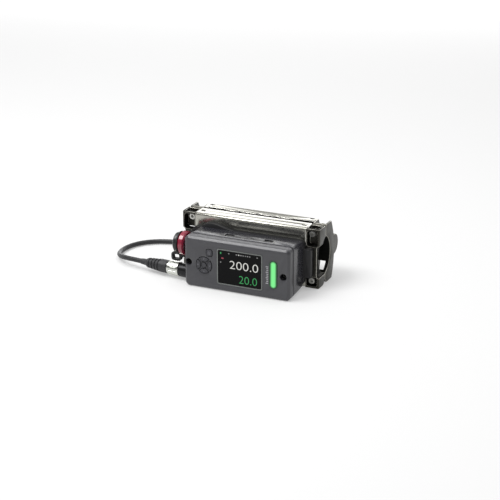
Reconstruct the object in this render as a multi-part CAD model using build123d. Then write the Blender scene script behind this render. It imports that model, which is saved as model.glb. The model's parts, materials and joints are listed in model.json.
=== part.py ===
from build123d import *
import math
import os

# Clip-on ultrasonic flow sensor for a small pipe, in millimetres.
# +X runs along the pipe, +Y from the display to the back of the clamp, +Z up.
# The origin is on the floor under the middle of the sensor.

# Overall layout, front to back
key_stand = 0.5                 # keys stand this far out of the display face
head_depth = 36.0               # display face to the back of the display head
body_flange_depth = 6.4         # black sensor body between the head and the clamp
front_half_depth = 16.6         # clamp front plane to the parting plane
parting_gap = 0.4               # between the closed clamp halves
rear_half_depth = 24.0          # parting plane to the middle of the rear wall
bead_radius = 10.3              # round bead centred on the rear wall

overall_depth = (
    key_stand + head_depth + body_flange_depth + front_half_depth
    + parting_gap + rear_half_depth + bead_radius
)
face_y = key_stand - overall_depth / 2
head_back_y = face_y + head_depth
clamp_front_y = head_back_y + body_flange_depth
parting_y = clamp_front_y + front_half_depth
rear_front_y = parting_y + parting_gap
rear_wall_y = rear_front_y + rear_half_depth

# Clamp
clamp_length = 146.3
clamp_height = 60.5
cheek_length = 14.2             # cast end piece at each end, along X
sheet = 2.0                     # stainless sheet of the two rails
sheet_bend = 2.6                # outer bend radius
rear_flange_inset = 3.6         # rear rail edge behind its parting plane
seat_margin = 9.05              # casting left above and below the 42.4 mm pipe
front_seat_floor = 4.6          # clamp front plane to the deepest point of the seat
rear_seat_floor = 12.6          # rear parting plane to the deepest point of the seat
clamp_travel = 9.0
rear_top_inset = 9.4            # rear wall leans in by this much at the top
rear_foot_inset = 6.0           # and by this much at the foot
rear_belly_z = 26.0
bead_z = 33.2
slot_length = 5.0
slot_width = 2.6
slot_inset = 4.95               # slot centre from the end of the rail
notch_inset = 4.95              # wide notch in the rear flange, from the rail end
notch_reach = 21.95
notch_depth = 1.8
small_notch_width = 3.0
small_notch_places = (-21.1, 1.5, 19.1)
top_chamfer = 2.0
foot_chamfer = 4.5

clamp_mid_z = clamp_height / 2
pipe_radius = clamp_mid_z - seat_margin
rail_length = clamp_length - 2 * cheek_length
rail_end_x = rail_length / 2
cheek_end_x = clamp_length / 2
front_seat_y = clamp_front_y + front_seat_floor + pipe_radius
rear_seat_y = rear_front_y + rear_seat_floor - pipe_radius

# Clamp screws, M4
screw_inset = 8.95              # screw centre from the end of the cheek
screw_edge = 5.95               # and from the clamp's top and foot
screw_radius = 2.0
screw_head_radius = 3.5
screw_head_length = 4.0
screw_socket_radius = 1.7
screw_seat_depth = 8.6          # clamp front plane to the face under the washer
washer_radius = 3.6
washer_thickness = 0.8
nut_width = 7.0
nut_thickness = 3.2
nut_wall = 3.5                  # rear cheek wall in front of the nut
screw_clearance = 0.3
thread_clearance = 0.08
screw_tip_spare = 0.5
pocket_wall = 2.0
upper_pocket_height = 18.0      # clamp top to the floor of the upper pocket
lower_pocket_top = 11.5
rear_pocket_step = 4.0          # rear pocket floor above the front one
rear_lower_pocket_top = 19.5
strip_width = 3.4               # bright strip left along the front of the upper pocket
waist_inset = 2.7               # cheek's end face is set in between its ears

# Display head
head_left = -50.4
head_width = 110.2
head_height = 51.4
head_corner = 4.5
face_bevel = 2.2
cover_depth = 10.2
cover_wall = 2.4
gasket_thickness = 0.8
gasket_inset = 1.3
gasket_width = 1.5
case_wall = 2.4
case_draft = 2.0                # degrees, all round
case_floor_rise = 4.0           # underside lifts by this much towards the back
ridge_right_y = 21.5            # top falls away behind this line, from the face
ridge_left_y = 17.0
ridge_step_x = -17.7
top_fall = 2.3
latch_places = (-10.7, 30.2)
latch_width = 8.8
latch_depth = 5.6
latch_pocket = 2.6
cavity_floor = 6.5
cavity_top = 46.4
cavity_side = 3.4

head_right = head_left + head_width
head_mid_x = (head_left + head_right) / 2
head_mid_z = head_height / 2
gasket_y = face_y + cover_depth
case_y = gasket_y + gasket_thickness
cavity_back_y = head_back_y - case_wall

# Display, keys and status bar on the face
screen_x = 8.25
screen_z = 25.2
screen_width = 47.6
screen_height = 36.2
screen_corner = 2.4
screen_frame_width = 1.1
screen_frame_stand = 0.2
screen_recess = 1.6
window_thickness = 1.2
lcd_margin = 2.0
lcd_air = 0.2                   # behind the window
lcd_thickness = 3.4
backlight_inset = 1.5
trim_clearance = 0.05
pad_x = -29.3
pad_z = 24.1
pad_radius = 8.6
pad_inner_radius = 4.1
pad_rib = 1.0
enter_radius = 2.4
key_clearance = 0.5
key_travel = 0.5
key_flange = 0.75
round_key_flange = 0.45         # enter and menu keys, clear of the arrow keys
key_flange_thickness = 0.8
menu_x = -23.6
menu_z = 37.4
menu_width = 6.0
menu_height = 6.4
menu_corner = 1.6
bar_x = 43.3
bar_z = 25.2
bar_width = 8.3
bar_height = 28.0
bar_stand = 0.3
bar_flange = 0.9

# Head screws, M4, in two deep counterbores
head_screw_places = ((-45.8, 25.1), (53.4, 24.2))
head_bore_radius = 3.4
head_boss_radius = 4.7
head_screw_seat = 20.0          # behind the face
head_screw_head_radius = 3.2
head_screw_head_length = 3.6
head_screw_reach = 4.6          # into the sensor body

# Boards
board_y = face_y + 10.0
board_thickness = 1.6
board_left = -40.4
board_right = 47.6
board_low = 8.0
board_high = 45.0
post_radius = 2.2
switch_size = 4.2
switch_body = 3.2
switch_plunger_radius = 1.1
switch_gap = 0.15
switch_radius = 6.2
light_bar_width = 4.4
light_bar_height = 25.0
light_bar_depth = 3.6
link_width = 20.0
link_height = 6.0
link_clearance = 0.4

# Sensor body, transducers and coupling pad
body_half_width = 60.0
body_lug_inset = 5.95           # lug end from the end of the cheek
body_low = 3.0
body_high = 48.6
body_corner = 6.0
lug_low = 12.2
lug_high = 41.4
lug_corner = 1.5
hump_left = -50.0
hump_peak_x = -41.0
hump_right = -12.0
hump_height = 53.4
block_inset = 8.95              # raised block from the end of the rail
block_low = 13.6
block_high = 46.9
window_clearance = 0.3
pad_inset = 4.0                 # coupling pad from the end of the block
pad_half_height = 10.0
coupling_thickness = 0.9
transducer_x = 24.0
transducer_length = 22.0
transducer_height = 12.0
transducer_depth = 7.0
transducer_slope = 3.0
rear_pad_inset = 6.95
rear_pad_half_height = 9.6
spine_clearance = 0.2

# Power connector and cable
port_tilt = 6.0                 # degrees, turned towards the back
port_y = face_y + 14.6
port_z = 8.8
port_boss_radius = 7.0
port_boss_end = 1.8
port_boss_root = 4.0            # inside the case wall
port_notch_gap = 0.35           # round the boss, where it crosses the cover's edge
port_notch_depth = 7.2
socket_back = -6.5
socket_inner_radius = 5.1
socket_collar_radius = 7.0
socket_collar_end = 12.8
socket_thread_radius = 5.9
socket_thread_end = 19.0
nut_start = 13.1
nut_end = 26.6
nut_outer_radius = 7.35
nut_flutes = 12
nut_flute_radius = 0.7
plug_radius = 5.0
plug_start = 19.2
boot_start = 27.0
boot_grip_end = 36.6
boot_rib_end = 51.4
boot_end = 60.0
boot_front_radius = 6.6
boot_shoulder_radius = 5.2
boot_neck_radius = 2.9
boot_ribs = 4
boot_rib_depth = 0.9
running_gap = 0.08
cable_radius = 2.5

# Service port with its cap
aux_y = face_y + 19.2
aux_z = 36.1
aux_boss_radius = 8.0
aux_boss_end_x = -56.1
aux_ring_radius = 12.0
aux_ring_end_x = -62.5
aux_bore_radius = 7.0
aux_cap_radius = 10.0
aux_cap_end_x = -69.3
aux_cap_edge = 1.6
aux_groove_radius = 8.6
aux_groove_width = 1.8
aux_stub_reach = 4.2            # threaded stub beyond the seal ring
aux_stub_wall = 1.3
aux_root = 6.0                  # stub reaches this far inside the case
cap_gap = 0.3
tether_width = 4.0
tether_thickness = 2.2
tether_drop = 9.0
tether_length = 10.8
tether_bend = 3.0
tether_stand = 1.3              # loop beyond the cap's rim

# Cable coil behind the clamp
coil_x = -45.0
coil_gap = 17.6                 # clear floor between the clamp and the coil
coil_mean_radius = 27.5
coil_half_width = 7.5
coil_low = 1.0
coil_layers = 4
coil_end_angle = 25.0
lead_angle = 55.0
lead_radius = 0.75
tie_width = 8.0
tie_thickness = 0.8
tie_gap = 0.1
tie_angle = 100.0

body_lug_half_width = cheek_end_x - body_lug_inset
block_half_width = rail_end_x - block_inset
pad_half_width = block_half_width - pad_inset
rear_pad_half_width = rail_end_x - rear_pad_inset
screw_x = cheek_end_x - screw_inset
upper_pocket_floor = clamp_height - upper_pocket_height
coil_high = coil_low + 2 * cable_radius * coil_layers
coil_outer = coil_mean_radius + coil_half_width
coil_inner = coil_mean_radius - coil_half_width
coil_y = rear_wall_y + coil_gap + coil_outer

os.makedirs("parts", exist_ok=True)


def slab(shape, front, back):
    """Extrude an XZ outline between two Y planes."""
    plane = Plane(origin=(0, back, 0), x_dir=(1, 0, 0), z_dir=(0, -1, 0))
    return extrude(plane * shape, amount=back - front)


def bar(shape, left, right):
    """Extrude a YZ outline between two X planes."""
    plane = Plane(origin=(left, 0, 0), x_dir=(0, 1, 0), z_dir=(1, 0, 0))
    return extrude(plane * shape, amount=right - left)


def at(x, z):
    return Pos(x, z)


def poly(*points):
    """Closed outline with its corners taken counterclockwise."""
    area = sum(a[0] * b[1] - b[0] * a[1] for a, b in zip(points, points[1:] + points[:1]))
    return Polygon(*(points if area > 0 else points[::-1]), align=None)


def block(x0, x1, y0, y1, z0, z1):
    return Pos((x0 + x1) / 2, (y0 + y1) / 2, (z0 + z1) / 2) * Box(x1 - x0, y1 - y0, z1 - z0)


def rod_y(x, z, radius, front, back):
    return slab(at(x, z) * Circle(radius), front, back)


def turned(points):
    """Revolve (distance along the axis, radius) points about X."""
    return revolve(make_face(Polyline(*points, close=True)), axis=Axis.X)


def mirrored(part):
    return mirror(part, about=Plane.YZ)


def save(part, name):
    part.label = name
    export_step(part, f"parts/{name}.step")


def face_outline(margin=0.0):
    """Outline of the display head, set in by a margin."""
    outline = RectangleRounded(
        head_width - 2 * margin, head_height - 2 * margin, max(head_corner - margin, 0.6)
    )
    return at(head_mid_x, head_mid_z) * outline


# Display head


def key_sector(turn, clearance, flange=0.0):
    """One arrow key: a quarter of a ring, kept clear of the cross of ribs."""
    outer = pad_radius - clearance + flange
    inner = pad_inner_radius - key_clearance + clearance
    apex = (pad_rib / 2 + clearance - flange) * math.sqrt(2)
    far = 2 * pad_radius
    wedge = poly((apex, 0), (apex + far, far), (apex + far, -far))
    ring = Circle(outer) - Circle(inner)
    return at(pad_x, pad_z) * (Rot(0, 0, turn) * (ring & wedge))


def menu_outline(grow=0.0):
    return at(menu_x, menu_z) * RectangleRounded(
        menu_width + 2 * grow, menu_height + 2 * grow, menu_corner + grow
    )


def bar_outline(grow=0.0):
    slot = SlotOverall(bar_height + 2 * grow, bar_width + 2 * grow, rotation=90)
    return at(bar_x, bar_z) * slot


def screen_outline(margin=0.0):
    return at(screen_x, screen_z) * RectangleRounded(
        screen_width - 2 * margin, screen_height - 2 * margin, screen_corner - margin
    )


arrow_turns = {"key_right": 0, "key_up": 90, "key_left": 180, "key_down": 270}
inner_face_y = face_y + cover_wall


def front_cover():
    shell = slab(face_outline(), face_y, gasket_y)
    front_edges = shell.faces().sort_by(Axis.Y)[0].edges()
    shell = chamfer(front_edges, face_bevel)
    shell -= slab(face_outline(cavity_side), inner_face_y, gasket_y)
    for x, z in head_screw_places:
        shell += rod_y(x, z, head_boss_radius, inner_face_y, gasket_y) & slab(
            face_outline(face_bevel / 4), face_y, gasket_y
        )
    openings = [slab(screen_outline(), face_y - 1, face_y + screen_recess)]
    openings.append(slab(screen_outline(screen_frame_width + lcd_margin / 2), face_y, gasket_y))
    openings += [slab(key_sector(t, 0), face_y - 1, gasket_y) for t in arrow_turns.values()]
    openings.append(rod_y(pad_x, pad_z, enter_radius + key_clearance, face_y - 1, gasket_y))
    openings.append(slab(menu_outline(key_clearance), face_y - 1, gasket_y))
    openings.append(slab(bar_outline(trim_clearance), face_y - 1, gasket_y))
    for x, z in head_screw_places:
        openings.append(rod_y(x, z, head_bore_radius, face_y - 1, gasket_y + 1))
    return shell - openings - port_notch()


def port_notch():
    """Half-round notch in the cover's edge for the boss of the power connector."""
    return along_port(-port_notch_depth) * Rot(0, 90, 0) * Cylinder(
        port_boss_radius + port_notch_gap, 2 * port_notch_depth,
        align=(Align.CENTER, Align.CENTER, Align.MIN),
    )


def case_gasket():
    """Seal between cover and case, led round the screw bores and open at the connector."""
    ring = face_outline(gasket_inset) - face_outline(gasket_inset + gasket_width)
    for x, z in head_screw_places:
        ring += at(x, z) * Circle(head_bore_radius + gasket_width) & face_outline(gasket_inset)
    seal = slab(ring, gasket_y, case_y) - port_notch()
    return seal - [
        rod_y(x, z, head_bore_radius + trim_clearance, gasket_y - 1, case_y + 1)
        for x, z in head_screw_places
    ]


def fall_wedge(start, left, right):
    """Wedge taken off the top of the case behind a ridge line."""
    top = head_height + 1
    outline = poly(
        (face_y + start, head_height), (face_y + start, top), (head_back_y + 1, top),
        (head_back_y + 1, head_height - top_fall)
    )
    return bar(outline, left, right)


def port_place():
    turn = math.radians(port_tilt)
    outward = (-math.cos(turn), math.sin(turn), 0)
    return Location(Plane(origin=(head_left + 0.6, port_y, port_z), x_dir=outward, z_dir=(0, 0, 1)))


def along_port(distance):
    return port_place() * Pos(distance, 0, 0)


def rear_case():
    plane = Plane(origin=(0, case_y, 0), x_dir=(1, 0, 0), z_dir=(0, -1, 0))
    shell = extrude(plane * face_outline(), amount=-(head_back_y - case_y), taper=case_draft)
    shell -= fall_wedge(ridge_left_y, head_left - 1, ridge_step_x)
    shell -= fall_wedge(ridge_right_y, ridge_step_x, head_right + 1)
    floor = poly(
        (case_y + 2, -1), (case_y + 2, 0), (head_back_y + 1, case_floor_rise),
        (head_back_y + 1, -1)
    )
    shell -= bar(floor, head_left - 1, head_right + 1)
    outer = shell
    cavity = block(
        head_left + cavity_side, head_right - cavity_side, case_y - 1, cavity_back_y,
        cavity_floor, cavity_top,
    )
    shell -= fillet(cavity.edges().filter_by(Axis.Y), 2)
    for x, z in head_screw_places:
        shell += rod_y(x, z, head_boss_radius, case_y, cavity_back_y) & outer
    for x in (board_left + 4, board_right - 4):
        for z in (board_low + 4, board_high - 4):
            shell += rod_y(x, z, post_radius, board_y + board_thickness, cavity_back_y)
    shell += along_port(port_boss_end) * Rot(0, 90, 0) * Cylinder(
        port_boss_radius, port_boss_end + port_boss_root,
        align=(Align.CENTER, Align.CENTER, Align.MAX),
    )
    shell += bar(Pos(aux_y, aux_z) * Circle(aux_boss_radius), aux_boss_end_x, head_left + 3)
    cuts = []
    for x, z in head_screw_places:
        cuts.append(rod_y(x, z, head_bore_radius, case_y - 1, face_y + head_screw_seat))
        cuts.append(rod_y(x, z, screw_radius + screw_clearance, case_y, head_back_y + 1))
    for x in latch_places:
        cuts.append(block(
            x - latch_width / 2, x + latch_width / 2,
            face_y + ridge_right_y - latch_depth, face_y + ridge_right_y + 0.6,
            head_height - latch_pocket, head_height + 2,
        ))
    cuts.append(link_block(link_clearance, case_y + 10, head_back_y + 1))
    cuts.append(port_place() * Rot(0, 90, 0) * Cylinder(socket_inner_radius + 0.1, 60))
    cuts.append(bar(
        Pos(aux_y, aux_z) * Circle(aux_bore_radius - 1), aux_boss_end_x - 1, head_left + 6
    ))
    return shell - cuts


def link_block(grow, front, back):
    mid_z = (board_low + board_high) / 2
    return block(
        -link_width / 2 - grow, link_width / 2 + grow, front, back,
        mid_z - link_height / 2 - grow, mid_z + link_height / 2 + grow,
    )


def latch_hooks():
    """Dark snap hooks that show in the two notches on top."""
    hooks = []
    for x in latch_places:
        back = face_y + ridge_right_y
        low = head_height - latch_pocket
        outline = poly(
            (back - latch_depth, low), (back - latch_depth + 2.0, low + 1.5),
            (back, low + 1.5), (back, low)
        )
        hooks.append(bar(outline, x - latch_width / 2 + 0.5, x + latch_width / 2 - 0.5))
    return Compound(children=hooks)


def display_frame():
    ring = screen_outline(trim_clearance) - screen_outline(screen_frame_width)
    return slab(ring, face_y - screen_frame_stand, face_y + screen_recess)


def display_window():
    outline = screen_outline(screen_frame_width + trim_clearance)
    return slab(outline, face_y + screen_recess - window_thickness, face_y + screen_recess)


def lcd_module():
    """Display cell in front of its backlight, which stands on the board."""
    edge = 2 * screen_frame_width + 3 * lcd_margin
    wide = screen_width - edge
    tall = screen_height - edge
    centre = at(screen_x, screen_z)
    front = face_y + screen_recess + lcd_air
    back = front + lcd_thickness
    cell = slab(centre * Rectangle(wide, tall), front, back)
    lit = centre * Rectangle(wide - 2 * backlight_inset, tall - 2 * backlight_inset)
    return cell + slab(lit, back, board_y)


def pressed_key(outline, flange_outline):
    cap = slab(outline, face_y - key_stand, inner_face_y)
    rim = cap.faces().sort_by(Axis.Y)[0].edges()
    cap = fillet(rim, 0.3)
    return cap + slab(flange_outline, inner_face_y, inner_face_y + key_flange_thickness)


def arrow_key(turn):
    return pressed_key(key_sector(turn, key_clearance), key_sector(turn, key_clearance, key_flange))


def enter_key():
    return pressed_key(
        at(pad_x, pad_z) * Circle(enter_radius),
        at(pad_x, pad_z) * Circle(enter_radius + key_clearance + round_key_flange),
    )


def menu_key():
    return pressed_key(menu_outline(), menu_outline(key_clearance + round_key_flange))


def status_lens():
    lens = slab(bar_outline(), face_y - bar_stand, inner_face_y)
    lens = fillet(lens.faces().sort_by(Axis.Y)[0].edges(), 0.28)
    return lens + slab(bar_outline(bar_flange), inner_face_y, inner_face_y + 0.8)


def main_board():
    outline = at((board_left + board_right) / 2, (board_low + board_high) / 2)
    board = slab(
        outline * Rectangle(board_right - board_left, board_high - board_low),
        board_y, board_y + board_thickness,
    )
    return board


def key_switches():
    """Push switches on the board, one behind each key."""
    places = [(menu_x, menu_z), (pad_x, pad_z)]
    for turn in arrow_turns.values():
        angle = math.radians(turn)
        places.append((
            pad_x + switch_radius * math.cos(angle), pad_z + switch_radius * math.sin(angle)
        ))
    tip = inner_face_y + key_flange_thickness + key_travel + switch_gap
    switches = []
    for x, z in places:
        base = slab(at(x, z) * Rectangle(switch_size, switch_size), board_y - switch_body, board_y)
        switches.append(base + rod_y(x, z, switch_plunger_radius, tip, board_y - switch_body))
    return Compound(children=switches)


def status_lights():
    strip = at(bar_x, bar_z) * Rectangle(light_bar_width, light_bar_height)
    return slab(strip, board_y - light_bar_depth, board_y)


def head_screws():
    screws = []
    seat = face_y + head_screw_seat
    for x, z in head_screw_places:
        head = rod_y(x, z, head_screw_head_radius, seat - head_screw_head_length, seat)
        head -= slab(
            at(x, z) * RegularPolygon(screw_socket_radius, 6),
            seat - head_screw_head_length - 1, seat - 1.4,
        )
        screws.append(head + rod_y(x, z, screw_radius, seat, head_back_y + head_screw_reach))
    return Compound(children=screws)


# Sensor body


def body_outline():
    middle = at(0, (body_low + body_high) / 2) * RectangleRounded(
        2 * body_half_width, body_high - body_low, body_corner
    )
    lugs = at(0, (lug_low + lug_high) / 2) * RectangleRounded(
        2 * body_lug_half_width, lug_high - lug_low, lug_corner
    )
    crown = (
        Line((hump_right, body_high - body_corner), (hump_left, body_high - body_corner))
        + Line((hump_left, body_high - body_corner), (hump_left, body_high - 1))
        + Spline(
            (hump_left, body_high - 1), (hump_peak_x, hump_height), (hump_right, body_high - 0.3),
            tangents=[(0.35, 1), (1, -0.14)],
        )
        + Line((hump_right, body_high - 0.3), (hump_right, body_high - body_corner))
    )
    return middle + lugs + make_face(crown)


def transducer(side):
    """Crystal on a sloped wedge; its face is flush under the coupling pad."""
    back = clamp_front_y + front_seat_floor - coupling_thickness
    middle = side * transducer_x
    outer = middle + side * transducer_length / 2
    inner = middle - side * transducer_length / 2
    wedge = poly(
        (inner, back), (outer, back), (outer, back - transducer_depth),
        (inner, back - transducer_depth + transducer_slope)
    )
    low = clamp_mid_z - transducer_height / 2
    return extrude(Plane.XY.offset(low) * wedge, amount=transducer_height)


def sensor_body():
    body = slab(body_outline(), head_back_y, clamp_front_y)
    inner = at(0, (block_low + block_high) / 2) * RectangleRounded(
        2 * block_half_width, block_high - block_low, 3
    )
    back = clamp_front_y + front_seat_floor - coupling_thickness
    body += slab(inner, clamp_front_y, back)
    cuts = [transducer(side) for side in (-1, 1)]
    cuts.append(link_block(link_clearance, head_back_y - 1, clamp_front_y - 1))
    for x, z in head_screw_places:
        cuts.append(rod_y(
            x, z, screw_radius + thread_clearance, head_back_y - 1,
            head_back_y + head_screw_reach + 0.4,
        ))
    return body - cuts


def link_connector():
    return link_block(0, board_y + board_thickness, clamp_front_y - 1 - link_clearance)


def coupling_pad():
    back = clamp_front_y + front_seat_floor
    pad = at(0, clamp_mid_z) * RectangleRounded(2 * pad_half_width, 2 * pad_half_height, 2)
    return slab(pad, back - coupling_thickness, back)


# Clamp


def slot_cut(y, z):
    slot = SlotOverall(slot_length, slot_width)
    return [
        Pos(side * (rail_end_x - slot_inset), y, z) * extrude(slot, amount=2 * sheet, both=True)
        for side in (-1, 1)
    ]


front_slot_y = clamp_front_y + front_half_depth / 2
rear_slot_y = rear_front_y + rear_half_depth / 2 + 0.5


def front_channel():
    back = parting_y
    outer = Pos((clamp_front_y + back + sheet_bend) / 2, clamp_mid_z) * RectangleRounded(
        back - clamp_front_y + sheet_bend, clamp_height, sheet_bend
    )
    inner = Pos((clamp_front_y + sheet + back + sheet_bend) / 2 + 5, clamp_mid_z)
    inner *= RectangleRounded(
        back - clamp_front_y - sheet + sheet_bend + 10, clamp_height - 2 * sheet,
        sheet_bend - sheet
    )
    keep = Pos(back - front_half_depth, clamp_mid_z) * Rectangle(
        2 * front_half_depth, 2 * clamp_height
    )
    channel = bar((outer - inner) & keep, -rail_end_x, rail_end_x)
    window = at(0, (block_low + block_high) / 2) * RectangleRounded(
        2 * (block_half_width + window_clearance),
        block_high - block_low + 2 * window_clearance, 3 + window_clearance,
    )
    cuts = [slab(window, clamp_front_y - 1, clamp_front_y + sheet + 1)]
    cuts += slot_cut(front_slot_y, clamp_height) + slot_cut(front_slot_y, 0)
    return channel - cuts


def rear_wall_curve(inset):
    """Bowed rear wall, set in by an inset, as a face in front of the curve."""
    foot = (rear_wall_y - rear_foot_inset - inset, inset)
    belly = (rear_wall_y - inset, rear_belly_z)
    top = (rear_wall_y - rear_top_inset - inset, clamp_height - inset)
    return foot, belly, top


def rear_profile(inset=0.0, front=None):
    """Side view of the rear half, with the round bead on its back."""
    foot, belly, top = rear_wall_curve(inset)
    start = rear_front_y if front is None else front
    outline = (
        ThreePointArc(foot, belly, top)
        + Line(top, (start, top[1]))
        + Line((start, top[1]), (start, foot[1]))
        + Line((start, foot[1]), foot)
    )
    bead = Pos(rear_wall_y, bead_z) * Circle(bead_radius - inset)
    return make_face(outline) + bead


def rear_channel():
    start = rear_front_y + rear_flange_inset
    profile = rear_profile(0.0, start) - rear_profile(sheet, rear_front_y - 5)
    channel = bar(profile, -rail_end_x, rail_end_x)
    cuts = slot_cut(rear_slot_y, clamp_height) + slot_cut(rear_slot_y, 0)
    notches = [(notch_inset - rail_end_x, notch_reach - rail_end_x)]
    notches.append((rail_end_x - notch_reach, rail_end_x + 1))
    for middle in small_notch_places:
        notches.append((middle - small_notch_width / 2, middle + small_notch_width / 2))
    for left, right in notches:
        cuts.append(block(
            left, right, start - 1, start + notch_depth, clamp_height - 2 * sheet,
            clamp_height + 1,
        ))
    return channel - cuts


def pipe_cut(y, left, right):
    return bar(Pos(y, clamp_mid_z) * Circle(pipe_radius), left, right)


screw_heights = (screw_edge, clamp_height - screw_edge)
pocket_inner_x = rail_end_x + 1.0
pocket_outer_x = cheek_end_x - pocket_wall
seat_y = clamp_front_y + screw_seat_depth


def front_cheek():
    """Cast right-hand end of the front half."""
    outline = poly(
        (clamp_front_y, 0), (parting_y - foot_chamfer, 0), (parting_y, foot_chamfer),
        (parting_y, clamp_height - top_chamfer), (parting_y - top_chamfer, clamp_height),
        (clamp_front_y, clamp_height)
    )
    cheek = bar(outline, rail_end_x, cheek_end_x)
    corner = cheek.edges().filter_by(Axis.Z).group_by(Axis.Y)[0].sort_by(Axis.X)[-1]
    cheek = fillet(corner, 1.2)
    waist = RectangleRounded(
        2 * waist_inset, upper_pocket_floor - lower_pocket_top + 2, waist_inset - 0.1
    )
    middle = (upper_pocket_floor + lower_pocket_top) / 2
    cheek -= slab(at(cheek_end_x, middle) * waist, clamp_front_y - 1, parting_y + 1)
    upper = RectangleRounded(
        pocket_outer_x - pocket_inner_x, clamp_height - sheet - upper_pocket_floor, 2.5
    )
    upper = at(
        (pocket_inner_x + pocket_outer_x) / 2, (clamp_height - sheet + upper_pocket_floor) / 2
    ) * upper
    lower = RectangleRounded(
        pocket_outer_x - pocket_inner_x, lower_pocket_top - sheet, 2.0
    )
    lower = at(
        (pocket_inner_x + pocket_outer_x) / 2, (lower_pocket_top + sheet) / 2
    ) * lower
    cuts = [
        slab(upper, clamp_front_y - 1, seat_y),
        slab(lower, clamp_front_y - 1, seat_y),
        block(
            pocket_inner_x, pocket_outer_x, clamp_front_y + strip_width, parting_y - 4,
            clamp_height - 2 * sheet, clamp_height + 1,
        ),
        pipe_cut(front_seat_y, rail_end_x - 1, cheek_end_x + 1),
    ]
    for z in screw_heights:
        cuts.append(rod_y(screw_x, z, screw_radius + screw_clearance, seat_y - 1, parting_y + 1))
    return cheek - cuts


def rear_cheek():
    """Cast right-hand end of the rear half."""
    cheek = bar(rear_profile(), rail_end_x, cheek_end_x)
    low = poly(
        (rear_front_y - 1, -1), (rear_front_y + foot_chamfer, -1),
        (rear_front_y + foot_chamfer, 0), (rear_front_y, foot_chamfer),
        (rear_front_y - 1, foot_chamfer)
    )
    high = poly(
        (rear_front_y - 1, clamp_height + 1), (rear_front_y + top_chamfer, clamp_height + 1),
        (rear_front_y + top_chamfer, clamp_height), (rear_front_y, clamp_height - top_chamfer),
        (rear_front_y - 1, clamp_height - top_chamfer)
    )
    nut_y = rear_front_y + nut_wall
    behind = rear_wall_y + 2 * bead_radius
    cuts = [
        bar(low, rail_end_x - 1, cheek_end_x + 1),
        bar(high, rail_end_x - 1, cheek_end_x + 1),
        pipe_cut(rear_seat_y, rail_end_x - 1, cheek_end_x + 1),
        block(
            pocket_inner_x, pocket_outer_x, nut_y, behind,
            upper_pocket_floor + rear_pocket_step, clamp_height + 1,
        ),
        block(
            pocket_inner_x - 0.6, pocket_outer_x - 1.6, nut_y, behind,
            sheet, rear_lower_pocket_top,
        ),
    ]
    for z in screw_heights:
        cuts.append(rod_y(screw_x, z, screw_radius + screw_clearance, rear_front_y - 1, nut_y + 1))
    return cheek - cuts


def clamp_screws():
    screws = []
    under_head = seat_y - washer_thickness
    tip = rear_front_y + nut_wall + nut_thickness + clamp_travel + screw_tip_spare
    for side in (-1, 1):
        for z in screw_heights:
            x = side * screw_x
            head = rod_y(x, z, screw_head_radius, under_head - screw_head_length, under_head)
            head = chamfer(head.faces().sort_by(Axis.Y)[0].edges(), 0.4)
            head -= slab(
                at(x, z) * RegularPolygon(screw_socket_radius, 6),
                under_head - screw_head_length - 1, under_head - screw_head_length / 2,
            )
            screws.append(head + rod_y(x, z, screw_radius, under_head, tip))
    return Compound(children=screws)


def clamp_washers():
    washers = []
    for side in (-1, 1):
        for z in screw_heights:
            ring = Circle(washer_radius) - Circle(screw_radius + screw_clearance)
            washers.append(slab(at(side * screw_x, z) * ring, seat_y - washer_thickness, seat_y))
    return Compound(children=washers)


def clamp_nuts():
    nuts = []
    front = rear_front_y + nut_wall
    for side in (-1, 1):
        for z in screw_heights:
            hexagon = RegularPolygon(nut_width / 2, 6, major_radius=False)
            ring = hexagon - Circle(screw_radius + thread_clearance)
            nuts.append(slab(at(side * screw_x, z) * ring, front, front + nut_thickness))
    return Compound(children=nuts)


def rear_pad():
    """Rubber pad that presses the pipe; its round spine lies in the bead."""
    front = rear_front_y + rear_seat_floor
    face = Pos(rear_wall_y, clamp_mid_z) * Rectangle(
        4 * rear_half_depth, 2 * rear_pad_half_height
    )
    inner = rear_profile(sheet + spine_clearance, front)
    spine = Pos(rear_wall_y, bead_z) * Circle(bead_radius - sheet - spine_clearance)
    return bar((inner & face) + (spine & inner), -rear_pad_half_width, rear_pad_half_width)


# Power connector and cable


def power_socket():
    return port_place() * turned([
        (socket_back, 0), (socket_back, socket_inner_radius),
        (port_boss_end, socket_inner_radius), (port_boss_end, socket_collar_radius - 0.5),
        (port_boss_end + 0.5, socket_collar_radius), (socket_collar_end - 0.6, socket_collar_radius),
        (socket_collar_end, socket_collar_radius - 0.6), (socket_collar_end, socket_thread_radius),
        (socket_thread_end - 0.6, socket_thread_radius),
        (socket_thread_end, socket_thread_radius - 0.6), (socket_thread_end, 0),
    ])


def coupling_nut():
    bore = socket_thread_radius + running_gap
    sleeve = plug_radius + running_gap
    step = socket_thread_end + 1.4
    nut = turned([
        (nut_start, bore), (nut_start, nut_outer_radius - 0.7),
        (nut_start + 0.7, nut_outer_radius), (nut_end - 2.2, nut_outer_radius),
        (nut_end - 1.6, nut_outer_radius - 0.8), (nut_end - 0.5, nut_outer_radius - 0.8),
        (nut_end, nut_outer_radius - 1.3), (nut_end, sleeve), (step, sleeve), (step, bore),
    ])
    length = nut_end - 3.0 - nut_start - 2.4
    for number in range(nut_flutes):
        flute = Pos(nut_start + 2.2 + length / 2, 0, nut_outer_radius + 0.3)
        flute *= Rot(0, 90, 0) * Cylinder(nut_flute_radius, length)
        nut -= Rot(360 / nut_flutes * number, 0, 0) * flute
    return port_place() * nut


def plug_body():
    return port_place() * turned([
        (plug_start, 0), (plug_start, plug_radius), (boot_start, plug_radius), (boot_start, 0),
    ])


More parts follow.
